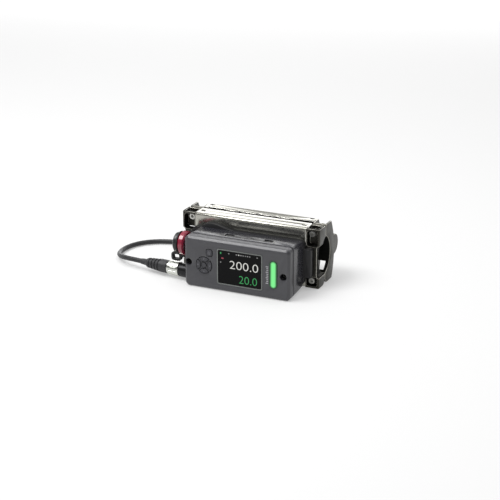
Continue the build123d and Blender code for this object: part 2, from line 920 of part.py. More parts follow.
def plug_boot():
    """Moulded strain relief: a thick grip, ribs that taper and a thin neck."""
    points = [(boot_start, 0), (boot_start, boot_front_radius - 0.6)]
    points.append((boot_start + 0.6, boot_front_radius))
    points.append((boot_grip_end - 0.6, boot_front_radius))
    pitch = (boot_rib_end - boot_grip_end) / boot_ribs
    for rib in range(boot_ribs):
        start = boot_grip_end + rib * pitch
        share = (rib + 1) / boot_ribs
        top = boot_front_radius * (1 - share) + boot_shoulder_radius * share
        points.append((start, top - boot_rib_depth))
        points.append((start + 0.2 * pitch, top - boot_rib_depth))
        points.append((start + 0.35 * pitch, top))
        points.append((start + 0.85 * pitch, top - 0.2))
    points.append((boot_rib_end + 2.6, boot_neck_radius + 0.4))
    points.append((boot_end - 1.0, boot_neck_radius))
    points.append((boot_end, boot_neck_radius - 0.2))
    points.append((boot_end, 0))
    return port_place() * turned(points)


def cable_route():
    exit_point = (along_port(boot_end)).position
    second = (along_port(boot_end + 14.0)).position
    free = [
        (-138.2, 30.0, 6.4), (-149.0, 44.5, 3.2), (-151.5, 62.0, 2.8), (-146.0, 79.5, 2.8),
        (-132.5, 93.0, 2.8), (-113.0, 100.0, 2.8), (-92.0, 102.2, 3.0),
    ]
    points = [exit_point, second] + [Vector(x, face_y + y, z) for x, y, z in free]
    join = Vector(coil_x, coil_y - coil_outer + cable_radius, coil_low + cable_radius)
    points.append(join - Vector(24.0, 0, 0))
    points.append(join)
    return points


def corner_radii(points):
    radii = []
    for before, here, after in zip(points, points[1:], points[2:]):
        one = here - before
        two = after - here
        turn = math.radians(one.get_angle(two))
        radii.append(0.45 * min(one.length, two.length) / math.tan(turn / 2))
    return radii


def cable():
    points = cable_route()
    path = FilletPolyline(*points, radius=corner_radii(points))
    start = Plane(origin=points[0], z_dir=(points[1] - points[0]))
    return sweep(start * Circle(cable_radius), path=path)


def ring_section(inner, outer, low, high, corner):
    """Rectangle with cut corners, in the plane that holds the coil's axis."""
    outline = Pos((inner + outer) / 2, (low + high) / 2) * Rectangle(outer - inner, high - low)
    return Plane.XZ * chamfer(outline.vertices(), corner)


def cable_coil():
    """Outer shape of the tied coil, with the last track left free for the leads."""
    ring = revolve(
        ring_section(coil_inner, coil_outer, coil_low, coil_high, 0.6 * cable_radius), axis=Axis.Z
    )
    track = ring_section(
        coil_outer - 2 * cable_radius, coil_outer + 1,
        coil_high - 2 * cable_radius, coil_high + 1, 0.5
    )
    notch = revolve(track, axis=Axis.Z, revolution_arc=lead_angle)
    ring -= Rot(0, 0, coil_end_angle) * notch
    return Pos(coil_x, coil_y, 0) * ring


def cable_leads():
    """Stripped leads at the end of the cable, lying in the last track of the coil."""
    track = coil_outer - cable_radius
    low = coil_high - 2 * cable_radius
    leads = []
    places = [(-1.7, 0), (0, 0), (1.7, 0), (-0.85, 1.55)]
    for place, (side, rise) in enumerate(places):
        centre = Pos(track + side, low + lead_radius + 0.1 + rise)
        section = Plane.XZ * (centre * RegularPolygon(lead_radius, 8))
        lead = revolve(section, axis=Axis.Z, revolution_arc=lead_angle - 8 - 3 * place)
        leads.append(Pos(coil_x, coil_y, 0) * (Rot(0, 0, coil_end_angle + 0.2) * lead))
    return Compound(children=leads)


def cable_tie():
    """Strap round the coil."""
    inner_sag = coil_inner - math.sqrt(coil_inner**2 - (tie_width / 2) ** 2) + tie_gap
    wide = 2 * coil_half_width + inner_sag + tie_gap
    tall = coil_high - coil_low + 2 * tie_gap
    middle = Pos(coil_mean_radius + (tie_gap - inner_sag) / 2, (coil_low + coil_high) / 2)
    inside = middle * RectangleRounded(wide, tall, cable_radius)
    outside = middle * RectangleRounded(
        wide + 2 * tie_thickness, tall + 2 * tie_thickness, cable_radius + tie_thickness
    )
    strap = extrude(Plane.XZ * (outside - inside), amount=tie_width / 2, both=True)
    return Pos(coil_x, coil_y, 0) * (Rot(0, 0, tie_angle) * strap)


# Service port


def port_seal():
    ring = turned([
        (aux_ring_end_x, aux_bore_radius + 0.3), (aux_ring_end_x, aux_ring_radius - 1.4),
        (aux_ring_end_x + 1.4, aux_ring_radius), (aux_boss_end_x - 1.2, aux_ring_radius),
        (aux_boss_end_x, aux_ring_radius - 1.2), (aux_boss_end_x, aux_bore_radius + 0.3),
    ])
    return Pos(0, aux_y, aux_z) * ring


def aux_port():
    """Threaded stub that carries the seal ring and the cap."""
    outer = aux_bore_radius - 0.2
    bore = aux_bore_radius - 3.0
    tip = aux_ring_end_x - aux_stub_reach
    stub = turned([
        (tip, bore + aux_stub_wall), (tip, outer), (aux_boss_end_x, outer),
        (aux_boss_end_x, outer - 0.9), (head_left + aux_root, outer - 0.9),
        (head_left + aux_root, bore), (tip + 1, bore),
    ])
    return Pos(0, aux_y, aux_z) * stub


def port_cap():
    inner = aux_bore_radius - 0.2 + running_gap
    top = aux_ring_end_x - aux_stub_reach - cap_gap
    rim = aux_ring_end_x - cap_gap
    cap = turned([
        (rim, inner), (rim, aux_groove_radius), (rim - aux_groove_width, aux_groove_radius),
        (rim - aux_groove_width, aux_cap_radius), (aux_cap_end_x + aux_cap_edge, aux_cap_radius),
        (aux_cap_end_x + 0.4, aux_cap_radius - aux_cap_edge), (aux_cap_end_x, 0), (top, 0),
        (top, inner),
    ])
    return Pos(0, aux_y, aux_z) * cap


def cap_tether():
    """Strap: a loop in the cap's groove, a slack bend below it and a tail to the case."""
    groove_x = aux_ring_end_x - cap_gap - aux_groove_width / 2
    half = aux_groove_width / 2 - cap_gap
    loop_outer = aux_cap_radius + tether_stand
    loop = turned([
        (groove_x - half, aux_groove_radius + cap_gap), (groove_x - half, loop_outer),
        (groove_x + half, loop_outer), (groove_x + half, aux_groove_radius + cap_gap),
    ])
    right = aux_ring_end_x - cap_gap
    top = -aux_cap_radius - cap_gap
    middle = Pos(right - tether_length / 2, top - tether_drop / 2)
    band = RectangleRounded(tether_length, tether_drop, tether_bend)
    band -= RectangleRounded(
        tether_length - 2 * tether_thickness, tether_drop - 2 * tether_thickness,
        tether_bend - tether_thickness,
    )
    strap = slab(middle * band, -tether_width / 2, tether_width / 2)
    low = -aux_ring_radius - cap_gap - tether_thickness
    tail = block(
        right - tether_thickness, head_left + 0.1, -tether_width / 2, tether_width / 2,
        low, low + tether_thickness,
    )
    return Pos(0, aux_y, aux_z) * (loop + strap + tail)


makers = {
    "front_cover": front_cover, "case_gasket": case_gasket, "rear_case": rear_case,
    "latch_hooks": latch_hooks, "display_frame": display_frame,
    "display_window": display_window, "lcd_module": lcd_module, "main_board": main_board,
    "key_switches": key_switches, "key_enter": enter_key, "key_menu": menu_key,
    "status_lens": status_lens, "status_lights": status_lights, "head_screws": head_screws,
    "sensor_body": sensor_body, "link_connector": link_connector,
    "coupling_pad": coupling_pad, "front_channel": front_channel,
    "front_cheek_right": front_cheek, "rear_channel": rear_channel,
    "rear_cheek_right": rear_cheek, "clamp_screws": clamp_screws,
    "clamp_washers": clamp_washers, "clamp_nuts": clamp_nuts, "rear_pad": rear_pad,
    "power_socket": power_socket, "coupling_nut": coupling_nut, "plug_body": plug_body,
    "plug_boot": plug_boot, "cable": cable, "cable_coil": cable_coil,
    "cable_leads": cable_leads, "cable_tie": cable_tie, "port_seal": port_seal,
    "aux_port": aux_port, "port_cap": port_cap, "cap_tether": cap_tether,
}

for name, maker in makers.items():
    save(maker(), name)
for name, turn in arrow_turns.items():
    save(arrow_key(turn), name)
save(mirrored(front_cheek()), "front_cheek_left")
save(mirrored(rear_cheek()), "rear_cheek_left")
save(transducer(-1), "transducer_left")
save(transducer(1), "transducer_right")
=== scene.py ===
"""Looks of the clip-on flow sensor: finishes, edge radii, display content, threads and cord."""

import json
import logging
import math
from dataclasses import dataclass
from enum import Enum
from functools import cache
from typing import Callable, Iterable

import bmesh
import bpy
from mathutils import Euler, Matrix, Vector


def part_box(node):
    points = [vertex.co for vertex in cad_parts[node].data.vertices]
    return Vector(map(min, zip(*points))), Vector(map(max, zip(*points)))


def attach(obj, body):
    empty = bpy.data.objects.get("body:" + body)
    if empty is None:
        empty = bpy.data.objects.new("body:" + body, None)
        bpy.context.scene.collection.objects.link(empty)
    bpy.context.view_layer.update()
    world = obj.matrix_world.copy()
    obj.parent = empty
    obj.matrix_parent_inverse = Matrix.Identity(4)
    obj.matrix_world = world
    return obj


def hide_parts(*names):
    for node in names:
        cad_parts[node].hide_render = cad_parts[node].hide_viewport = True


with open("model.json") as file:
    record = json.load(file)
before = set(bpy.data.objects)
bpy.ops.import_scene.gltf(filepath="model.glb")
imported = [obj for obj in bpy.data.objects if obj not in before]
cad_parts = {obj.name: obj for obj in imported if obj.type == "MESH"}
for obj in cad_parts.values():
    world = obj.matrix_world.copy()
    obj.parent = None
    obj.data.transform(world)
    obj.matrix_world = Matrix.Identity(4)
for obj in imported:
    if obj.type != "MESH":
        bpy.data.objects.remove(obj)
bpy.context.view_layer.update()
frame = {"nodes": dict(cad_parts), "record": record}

logging.basicConfig(level=logging.INFO, format="%(name)s: %(message)s")
LOG = logging.getLogger("flow_sensor")

MM = 0.001
PIPE_AXIS = Vector((0.0, 12.7, 30.25))
# Seat and pocket bounds for the cheeks' painted shade.
SEAT_RADIUS = 21.2
SEAT_MARGIN = 2.0
POCKET_X = (59.5, 71.3)
POCKET_Y = (-3.9, 4.6)
FACES_Y = 0.99
# Bounds of the latch notches, whose faces get painted shade.
NOTCH_PLACES = (-10.7, 30.2)
NOTCH_WIDTH = 8.8
NOTCH_LENGTH = 6.2
NOTCH_DEPTH = 2.6
NOTCH_Y = -27.6
NOTCH_MARGIN = 0.1
SCREW_PLACES = (-64.2, 64.2)
SCREW_HEIGHTS = (5.95, 54.55)
Colour = tuple[float, float, float, float]


def linear(code: str) -> Colour:
    """Turn an sRGB hex value into a linear colour.

    Args:
        code: six hex digits after a hash.

    Returns:
        Linear red, green, blue and an alpha of one.
    """
    channels = [int(code[start:start + 2], 16) / 255 for start in (1, 3, 5)]
    return tuple(c / 12.92 if c <= 0.04045 else ((c + 0.055) / 1.055) ** 2.4 for c in channels) + (1.0,)


def block(shape: bmesh.types.BMesh, x: float, y: float, z: float, wide: float, deep: float,
          tall: float) -> None:
    """Add a block about its middle, all in millimetres.

    Args:
        shape: bmesh that takes the block.
        x: middle along X.
        y: middle along Y.
        z: middle along Z.
        wide: size along X.
        deep: size along Y.
        tall: size along Z.
    """
    place = Matrix.Translation((x * MM, y * MM, z * MM))
    size = Matrix.Diagonal((wide * MM, deep * MM, tall * MM, 1))
    bmesh.ops.create_cube(shape, size=1.0, matrix=place @ size)


def put(tree: bpy.types.NodeTree, kind: str, settings: dict | None = None,
        inputs: dict | None = None) -> bpy.types.Node:
    """Add a node with its settings, values and links.

    Args:
        tree: node tree that takes the node.
        kind: node type.
        settings: properties of the node.
        inputs: socket name or number to a value or to the socket that feeds it.

    Returns:
        The new node.
    """
    made = tree.nodes.new(kind)
    for name, value in (settings or {}).items():
        setattr(made, name, value)
    for name, value in (inputs or {}).items():
        socket = made.inputs[name]
        if isinstance(value, bpy.types.NodeSocket):
            tree.links.new(value, socket)
        else:
            socket.default_value = value
    return made


class Body(Enum):
    """The body that most new pieces ride on."""

    SENSOR = "sensor"


@dataclass(frozen=True)
class Finish:
    """A surface finish: its colour, gloss and the grain that its making left."""

    name: str
    colour: str
    roughness: float
    metallic: float = 0.0
    grain_mm: float = 0.5
    grain_depth_mm: float = 0.01
    mottle_mm: float = 12.0
    mottle: float = 0.06
    coat: float = 0.0
    specular: float = 0.5

    def tree(self) -> tuple[bpy.types.Material, bpy.types.NodeTree, bpy.types.Node]:
        """Start the material with its shader and output."""
        material = bpy.data.materials.new(self.name)
        material.use_nodes = True
        tree = material.node_tree
        tree.nodes.clear()
        shader = put(tree, "ShaderNodeBsdfPrincipled", inputs={
            "Base Color": linear(self.colour), "Roughness": self.roughness,
            "Metallic": self.metallic, "Coat Weight": self.coat, "Coat Roughness": 0.06,
            "Specular IOR Level": self.specular,
        })
        put(tree, "ShaderNodeOutputMaterial", inputs={"Surface": shader.outputs["BSDF"]})
        material.diffuse_color = linear(self.colour)
        return material, tree, shader

    def millimetres(self, tree: bpy.types.NodeTree, stretch: tuple = (1, 1, 1)) -> bpy.types.NodeSocket:
        """Object coordinates in millimetres, each axis divided by its stretch."""
        coordinates = put(tree, "ShaderNodeTexCoord")
        scale = tuple(1 / (MM * part) for part in stretch)
        mapping = put(tree, "ShaderNodeMapping", inputs={
            "Vector": coordinates.outputs["Object"], "Scale": scale,
        })
        return mapping.outputs["Vector"]

    def shades(self) -> tuple[Colour, Colour]:
        """The colour, a little darker and a little lighter."""
        base = linear(self.colour)
        darker = tuple(c * (1 - self.mottle) for c in base[:3]) + (1.0,)
        lighter = tuple(min(c * (1 + self.mottle), 1.0) for c in base[:3]) + (1.0,)
        return darker, lighter

    def colour_field(self, tree: bpy.types.NodeTree, shader: bpy.types.Node,
                     place: bpy.types.NodeSocket) -> None:
        """Let the colour drift a little over the surface, as moulded or cast stock does."""
        drift = put(tree, "ShaderNodeTexNoise", inputs={
            "Vector": place, "Scale": 1 / self.mottle_mm, "Detail": 4.0, "Roughness": 0.6,
        })
        darker, lighter = self.shades()
        ramp = put(tree, "ShaderNodeMix", {"data_type": "RGBA"}, {
            0: drift.outputs["Fac"], 6: darker, 7: lighter,
        })
        tree.links.new(ramp.outputs[2], shader.inputs["Base Color"])

    def grain(self, tree: bpy.types.NodeTree, shader: bpy.types.Node,
              place: bpy.types.NodeSocket, spread: float = 0.08) -> bpy.types.NodeSocket:
        """Fine grain in height and gloss.

        Args:
            tree: node tree of the material.
            shader: its surface shader.
            place: coordinates in millimetres.
            spread: how far the roughness strays either way.

        Returns:
            The grain's height, from 0 to 1.
        """
        noise = put(tree, "ShaderNodeTexNoise", inputs={
            "Vector": place, "Scale": 1 / self.grain_mm, "Detail": 3.0, "Roughness": 0.55,
        })
        bump = put(tree, "ShaderNodeBump", inputs={
            "Height": noise.outputs["Fac"], "Strength": 1.0, "Distance": self.grain_depth_mm * MM,
        })
        gloss = put(tree, "ShaderNodeMapRange", inputs={
            "Value": noise.outputs["Fac"], "From Min": 0.3, "From Max": 0.7,
            "To Min": max(self.roughness - spread, 0.02), "To Max": self.roughness + spread,
        })
        tree.links.new(bump.outputs["Normal"], shader.inputs["Normal"])
        tree.links.new(gloss.outputs["Result"], shader.inputs["Roughness"])
        return noise.outputs["Fac"]

    def build(self) -> bpy.types.Material:
        """Moulded stock: drifting colour under an even grain."""
        material, tree, shader = self.tree()
        place = self.millimetres(tree)
        self.colour_field(tree, shader, place)
        self.grain(tree, shader, place)
        return material


@dataclass(frozen=True)
class BrushedFinish(Finish):
    """Sheet metal with fine brush strokes along X."""

    stroke_mm: float = 30.0

    def build(self) -> bpy.types.Material:
        """Strokes long in X and thin across, in height, gloss and tone."""
        material, tree, shader = self.tree()
        place = self.millimetres(tree, (self.stroke_mm, 1, 1))
        strokes = self.grain(tree, shader, place, 0.1)
        darker, lighter = self.shades()
        tone = put(tree, "ShaderNodeMix", {"data_type": "RGBA"}, {0: strokes, 6: darker, 7: lighter})
        tree.links.new(tone.outputs[2], shader.inputs["Base Color"])
        return material


@dataclass(frozen=True)
class CastFinish(Finish):
    """Investment casting, bead-blasted: small pits over a soft unevenness."""

    pit_mm: float = 0.9

    def build(self) -> bpy.types.Material:
        """Pits from cells, with the grain between them."""
        material, tree, shader = self.tree()
        place = self.millimetres(tree)
        self.colour_field(tree, shader, place)
        cells = put(tree, "ShaderNodeTexVoronoi", inputs={"Vector": place, "Scale": 1 / self.pit_mm})
        noise = put(tree, "ShaderNodeTexNoise", inputs={
            "Vector": place, "Scale": 1 / self.grain_mm, "Detail": 5.0,
        })
        height = put(tree, "ShaderNodeMath", {"operation": "MULTIPLY_ADD"}, {
            0: cells.outputs["Distance"], 1: 0.6, 2: noise.outputs["Fac"],
        })
        bump = put(tree, "ShaderNodeBump", inputs={
            "Height": height.outputs["Value"], "Strength": 1.0, "Distance": self.grain_depth_mm * MM,
        })
        gloss = put(tree, "ShaderNodeMapRange", inputs={
            "Value": noise.outputs["Fac"], "From Min": 0.3, "From Max": 0.7,
            "To Min": self.roughness - 0.1, "To Max": self.roughness + 0.12,
        })
        tree.links.new(bump.outputs["Normal"], shader.inputs["Normal"])
        tree.links.new(gloss.outputs["Result"], shader.inputs["Roughness"])
        return material


@dataclass(frozen=True)
class GlowFinish(Finish):
    """Lit pixels or a lit lens: an emission over a plain surface."""

    strength: float = 1.0
    unlit: str = "#060607"

    def build(self) -> bpy.types.Material:
        """An even glow over a dark surface."""
        material, tree, shader = self.tree()
        shader.inputs["Base Color"].default_value = linear(self.unlit)
        shader.inputs["Emission Color"].default_value = linear(self.colour)
        shader.inputs["Emission Strength"].default_value = self.strength
        return material


@dataclass(frozen=True)
class LensFinish(GlowFinish):
    """Clear green lens over a row of lights: bright along the middle, deeper at the rim."""

    middle: tuple[float, float] = (0.0, 0.0)
    half_run_mm: float = 10.3
    core_mm: float = 1.3
    rim_mm: float = 3.5
    rim_colour: str = "#0b3a1c"
    base_colour: str = "#06140b"

    def build(self) -> bpy.types.Material:
        """Glow by distance from the lens's centre line."""
        material, tree, shader = self.tree()
        place = self.millimetres(tree)
        parts = put(tree, "ShaderNodeSeparateXYZ", inputs={"Vector": place})
        across = put(tree, "ShaderNodeMath", {"operation": "SUBTRACT"}, {
            0: parts.outputs["X"], 1: self.middle[0],
        })
        along = put(tree, "ShaderNodeMath", {"operation": "SUBTRACT"}, {
            0: parts.outputs["Z"], 1: self.middle[1],
        })
        reach = put(tree, "ShaderNodeMath", {"operation": "ABSOLUTE"}, {0: along.outputs["Value"]})
        past = put(tree, "ShaderNodeMath", {"operation": "SUBTRACT"}, {
            0: reach.outputs["Value"], 1: self.half_run_mm,
        })
        beyond = put(tree, "ShaderNodeMath", {"operation": "MAXIMUM"}, {0: past.outputs["Value"], 1: 0.0})
        flat = put(tree, "ShaderNodeCombineXYZ", inputs={
            "X": across.outputs["Value"], "Z": beyond.outputs["Value"],
        })
        distance = put(tree, "ShaderNodeVectorMath", {"operation": "LENGTH"}, {0: flat.outputs["Vector"]})
        share = put(tree, "ShaderNodeMapRange", {"interpolation_type": "SMOOTHSTEP"}, {
            "Value": distance.outputs["Value"], "From Min": self.core_mm, "From Max": self.rim_mm,
        })
        glow = put(tree, "ShaderNodeMix", {"data_type": "RGBA"}, {
            0: share.outputs["Result"], 6: linear(self.colour), 7: linear(self.rim_colour),
        })
        shader.inputs["Base Color"].default_value = linear(self.base_colour)
        tree.links.new(glow.outputs[2], shader.inputs["Emission Color"])
        shader.inputs["Emission Strength"].default_value = self.strength
        return material


HEAD_PLASTIC = Finish("PBT_moulded_charcoal", "#36363b", 0.4, specular=0.8, grain_mm=0.35,
                      grain_depth_mm=0.012)
CASE_PLASTIC = Finish("PBT_satin_charcoal", "#303036", 0.24, specular=0.9, grain_mm=0.35,
                      grain_depth_mm=0.004)
BODY_PLASTIC = Finish("PPS_moulded_black", "#1c1c1e", 0.42, grain_mm=0.4, grain_depth_mm=0.01)
KEY_RUBBER = Finish("Silicone_keypad_grey", "#3b3b40", 0.5, grain_mm=0.3, grain_depth_mm=0.008)
SEAL_RUBBER = Finish("EPDM_black", "#161617", 0.62, grain_mm=0.6, grain_depth_mm=0.01)
WINDOW = Finish("PMMA_black_window", "#030304", 0.12, grain_mm=4.0, grain_depth_mm=0.0008, specular=0.12)
FRAME_METAL = Finish("Aluminium_satin_frame", "#7d807e", 0.4, metallic=0.7, grain_mm=0.3,
                     grain_depth_mm=0.004)
STATUS_LENS = LensFinish("Polycarbonate_lit_green", "#78f08c", 0.18, middle=(43.3, 25.2), strength=1.0)
BOARD = Finish("FR4_green_solder_mask", "#1d5a35", 0.3, grain_mm=1.2, grain_depth_mm=0.02,
               mottle_mm=2.0, mottle=0.3)
COMPONENT = Finish("Epoxy_black_component", "#202022", 0.5, grain_mm=0.3, grain_depth_mm=0.006)
LCD = Finish("Display_module_grey", "#77797d", 0.3, grain_mm=0.8, grain_depth_mm=0.003)
LED_WHITE = Finish("Light_strip_white", "#dcdcd4", 0.4, grain_mm=0.5, grain_depth_mm=0.005)
# Painted shade: near-black plastic on the faces inside the latch notches, where shade falls.
NOTCH_SHADE = Finish("PBT_notch_shade", "#0c0c0e", 0.7, specular=0.1)
PIEZO = Finish("Epoxy_cream_wedge", "#c3b79f", 0.45, grain_mm=0.5, grain_depth_mm=0.006)
COUPLANT = Finish("Silicone_grey_couplant", "#6d7276", 0.5, grain_mm=0.8, grain_depth_mm=0.01)
RAIL_STEEL = BrushedFinish("Stainless_brushed_sheet", "#a9a8a0", 0.24, metallic=1.0, grain_mm=0.22,
                           grain_depth_mm=0.006, mottle=0.12)
# Painted highlight: lighter steel on the bevelled edges of the channels, standing in for the light they
# catch.
RAIL_EDGE_HIGHLIGHT = BrushedFinish("Stainless_sheet_edge_highlight", "#dddcd6", 0.22, metallic=1.0, grain_mm=0.3,
                          grain_depth_mm=0.003)
# Painted shade: near-black steel on the channel faces that look in at the pipe, where shade falls.
RAIL_INSIDE_SHADE = BrushedFinish("Stainless_sheet_inside_painted_shade", "#1c1c1a", 0.6, metallic=0.3, grain_mm=0.3,
                            grain_depth_mm=0.006, specular=0.1)
CAST_STEEL = CastFinish("Stainless_cast_blasted", "#3b3a35", 0.4, metallic=0.85, grain_mm=0.5,
                        grain_depth_mm=0.035, mottle_mm=6.0, mottle=0.18)
# Painted highlight: lighter steel on the rounded edges of the cheeks, standing in for the light they catch.
CAST_EDGE_HIGHLIGHT = CastFinish("Stainless_cast_edge_highlight", "#a3a199", 0.32, metallic=1.0, grain_mm=0.5,
                       grain_depth_mm=0.01, mottle_mm=6.0, mottle=0.12)
# Painted shade: near-black steel in the cheeks' pipe seats and screw pockets, where shade falls.
CAST_SEAT_SHADE = CastFinish("Stainless_cast_seat_painted_shade", "#141412", 0.7, metallic=0.2, grain_mm=0.5,
                       grain_depth_mm=0.03, specular=0.1)
FASTENER = Finish("Stainless_turned_screw", "#b9b9b4", 0.28, metallic=1.0, grain_mm=0.3,
                  grain_depth_mm=0.004)
PAD_RUBBER = Finish("NBR_black_pad", "#1b1b1c", 0.6, grain_mm=0.7, grain_depth_mm=0.02)
SOCKET = Finish("Zinc_black_collar", "#232325", 0.32, metallic=0.6, grain_mm=0.3, grain_depth_mm=0.004)
NICKEL = Finish("Nickel_plated_nut", "#d9dbd4", 0.24, metallic=1.0, grain_mm=0.5, grain_depth_mm=0.003)
BOOT = Finish("TPU_boot_black", "#2b2b2d", 0.52, grain_mm=0.35, grain_depth_mm=0.01)
JACKET = Finish("PUR_cable_jacket_black", "#262628", 0.5, grain_mm=0.5, grain_depth_mm=0.01)
SEAL_RED = Finish("Moulded_glossy_dark_red", "#8c1f38", 0.16, grain_mm=2.0, grain_depth_mm=0.002, coat=0.8)
CAP = Finish("PA_cap_black", "#202022", 0.3, grain_mm=0.5, grain_depth_mm=0.004)
TIE = Finish("Hook_strap_black", "#1a1a1b", 0.85, grain_mm=0.25, grain_depth_mm=0.06)
PIXEL_WHITE = GlowFinish("Pixels_white", "#e6e6e0", 0.5, strength=0.85)
PIXEL_GREEN = GlowFinish("Pixels_green", "#2f9e55", 0.5, strength=0.85)
PIXEL_RED = GlowFinish("Pixels_red", "#b04658", 0.5, strength=0.7)
PIXEL_GREY = GlowFinish("Pixels_grey", "#9a9a9a", 0.5, strength=0.6)
PRINT = Finish("Pad_print_light_grey", "#b4b4b8", 0.5, grain_mm=0.3, grain_depth_mm=0.002)
TINNED = Finish("Tinned_copper_strands", "#b9b4a6", 0.3, metallic=1.0, grain_mm=0.3, grain_depth_mm=0.01)
LEGEND = Finish("Pad_print_mid_grey", "#77777c", 0.5, grain_mm=0.3, grain_depth_mm=0.002)


def insulation(name: str, colour: str) -> Finish:
    """PVC insulation of one lead."""
    return Finish(name, colour, 0.35, grain_mm=0.6, grain_depth_mm=0.003)


NODE_FINISH: dict[str, Finish] = {
    "front_cover": HEAD_PLASTIC, "rear_case": CASE_PLASTIC, "case_gasket": SEAL_RUBBER,
    "latch_hooks": BODY_PLASTIC, "display_frame": FRAME_METAL, "display_window": WINDOW,
    "lcd_module": LCD, "main_board": BOARD, "key_switches": COMPONENT, "key_up": KEY_RUBBER,
    "key_down": KEY_RUBBER, "key_left": KEY_RUBBER, "key_right": KEY_RUBBER,
    "key_enter": KEY_RUBBER, "key_menu": KEY_RUBBER, "status_lens": STATUS_LENS,
    "status_lights": LED_WHITE, "head_screws": FASTENER, "sensor_body": BODY_PLASTIC,
    "link_connector": COMPONENT, "transducer_left": PIEZO, "transducer_right": PIEZO,
    "coupling_pad": COUPLANT, "front_channel": RAIL_STEEL, "rear_channel": RAIL_STEEL,
    "front_cheek_left": CAST_STEEL, "front_cheek_right": CAST_STEEL,
    "rear_cheek_left": CAST_STEEL, "rear_cheek_right": CAST_STEEL, "rear_pad": PAD_RUBBER,
    "clamp_screws": FASTENER, "clamp_washers": FASTENER, "clamp_nuts": FASTENER,
    "power_socket": SOCKET, "coupling_nut": NICKEL, "plug_body": COMPONENT, "plug_boot": BOOT,
    "port_seal": SEAL_RED, "aux_port": SOCKET, "port_cap": CAP, "cap_tether": SEAL_RUBBER,
    "cable_tie": TIE,
}

MADE: dict[str, bpy.types.Material] = {}


def material_of(finish: Finish) -> bpy.types.Material:
    """The finish's material, built once."""
    if finish.name not in MADE:
        MADE[finish.name] = finish.build()
    return MADE[finish.name]


def smooth_by_angle(mesh: bpy.types.Mesh, degrees: float = 30.0) -> None:
    """Shade a mesh smooth, with its edges sharper than an angle kept crisp.

    Args:
        mesh: mesh to shade.
        degrees: edges that turn by more than this stay sharp.
    """
    mesh.polygons.foreach_set("use_smooth", [True] * len(mesh.polygons))
    mesh.set_sharp_from_angle(angle=math.radians(degrees))


def new_piece(name: str, shape: bmesh.types.BMesh, finish: Finish | list[Finish], body: str,
              sharp: float = 30.0) -> bpy.types.Object:
    """Make a piece of the object from a bmesh.

    Args:
        name: the piece's name.
        shape: its shape in place, in metres; it is freed.
        finish: its finish, or one for each material number on its faces.
        body: the body it rides on.
        sharp: edges that turn by more degrees than this stay crisp.

    Returns:
        The piece, at the origin, unturned and unscaled.
    """
    mesh = bpy.data.meshes.new(name)
    shape.to_mesh(mesh)
    shape.free()
    for one in finish if isinstance(finish, list) else [finish]:
        mesh.materials.append(material_of(one))
    smooth_by_angle(mesh, sharp)
    piece = bpy.data.objects.new(name, mesh)
    bpy.context.scene.collection.objects.link(piece)
    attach(piece, body)
    return piece


def body_of(node: str) -> str:
    """Name of the body that a node belongs to."""
    groups = frame["record"]["behaviour"]["bodies"]
    return next(name for name, members in groups.items() if node in members)


def looks_at_pipe(place: Vector, normal: Vector) -> bool:
    """Whether a face looks in at the pipe's axis, where shade is painted; its place is in millimetres."""
    inward = Vector((0.0, PIPE_AXIS.y - place.y, PIPE_AXIS.z - place.z))
    return abs(normal.x) < 0.5 and inward.dot(normal) > 0


def in_seat_or_pocket(place: Vector, normal: Vector) -> bool:
    """Whether a cheek's face belongs to the pipe seat or to a screw pocket, where shade is painted."""
    depth = (place - PIPE_AXIS).yz.length
    if looks_at_pipe(place, normal) and depth < SEAT_RADIUS + SEAT_MARGIN:
        return True
    low, high = POCKET_X
    near, far = POCKET_Y
    return low < abs(place.x) < high and near < place.y < far and abs(normal.y) < FACES_Y


@cache
def case_top() -> float:
    """Height of the rear case's top, in millimetres."""
    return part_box("rear_case")[1].z / MM


def in_latch_notch(place: Vector, normal: Vector) -> bool:
    """Whether a face of the case lies in one of the two latch notches, where shade is painted."""
    top = case_top()
    if not top - NOTCH_DEPTH - NOTCH_MARGIN < place.z < top - NOTCH_MARGIN:
        return False
    if abs(place.y - NOTCH_Y) >= NOTCH_LENGTH / 2 + NOTCH_MARGIN:
        return False
    return any(abs(place.x - x) < NOTCH_WIDTH / 2 + NOTCH_MARGIN for x in NOTCH_PLACES)


@dataclass
class EdgeRounding:
    """Gives a rigid node the small edge radius that its making leaves."""

    radius_mm: float = 0.3
    # Bevel faces may take a lighter finish as painted highlight; faces that the test picks take a darker one
    # as painted shade.
    edge_highlight_finish: Finish | None = None
    shade_finish: Finish | None = None
    inside: Callable[[Vector, Vector], bool] | None = None
    segments: int = 2
    sharp_deg: float = 35.0

    def apply(self, node: str) -> bpy.types.Object:
        """Round the sharp edges of a copy, which then stands for the node; bevel faces may take a painted
        highlight, and faces that the test picks a painted shade.

        Args:
            node: the node's name.

        Returns:
            The piece with rounded edges.
        """
        shape = bmesh.new()
        shape.from_mesh(frame["nodes"][node].data)
        bmesh.ops.remove_doubles(shape, verts=shape.verts, dist=0.002 * MM)
        bmesh.ops.dissolve_limit(shape, angle_limit=math.radians(0.3), verts=shape.verts, edges=shape.edges)
        finishes = [NODE_FINISH[node]]
        # Painted shade on the faces that the test picks.
        if self.shade_finish:
            finishes.append(self.shade_finish)
            for face in shape.faces:
                if self.inside(face.calc_center_median() / MM, face.normal):
                    face.material_index = 1
        # Painted highlight on the new bevel faces.
        highlight_slot = -1
        if self.edge_highlight_finish:
            highlight_slot = len(finishes)
            finishes.append(self.edge_highlight_finish)
        limit = math.radians(self.sharp_deg)
        sharp = [edge for edge in shape.edges if edge.is_manifold and edge.calc_face_angle(0) > limit]
        bmesh.ops.bevel(
            shape, geom=sharp, offset=self.radius_mm * MM, offset_type="OFFSET",
            segments=self.segments, profile=0.5, affect="EDGES", clamp_overlap=False, material=highlight_slot,
        )
        piece = new_piece(f"{node}_shape", shape, finishes, body_of(node))
        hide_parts(node)
        return piece


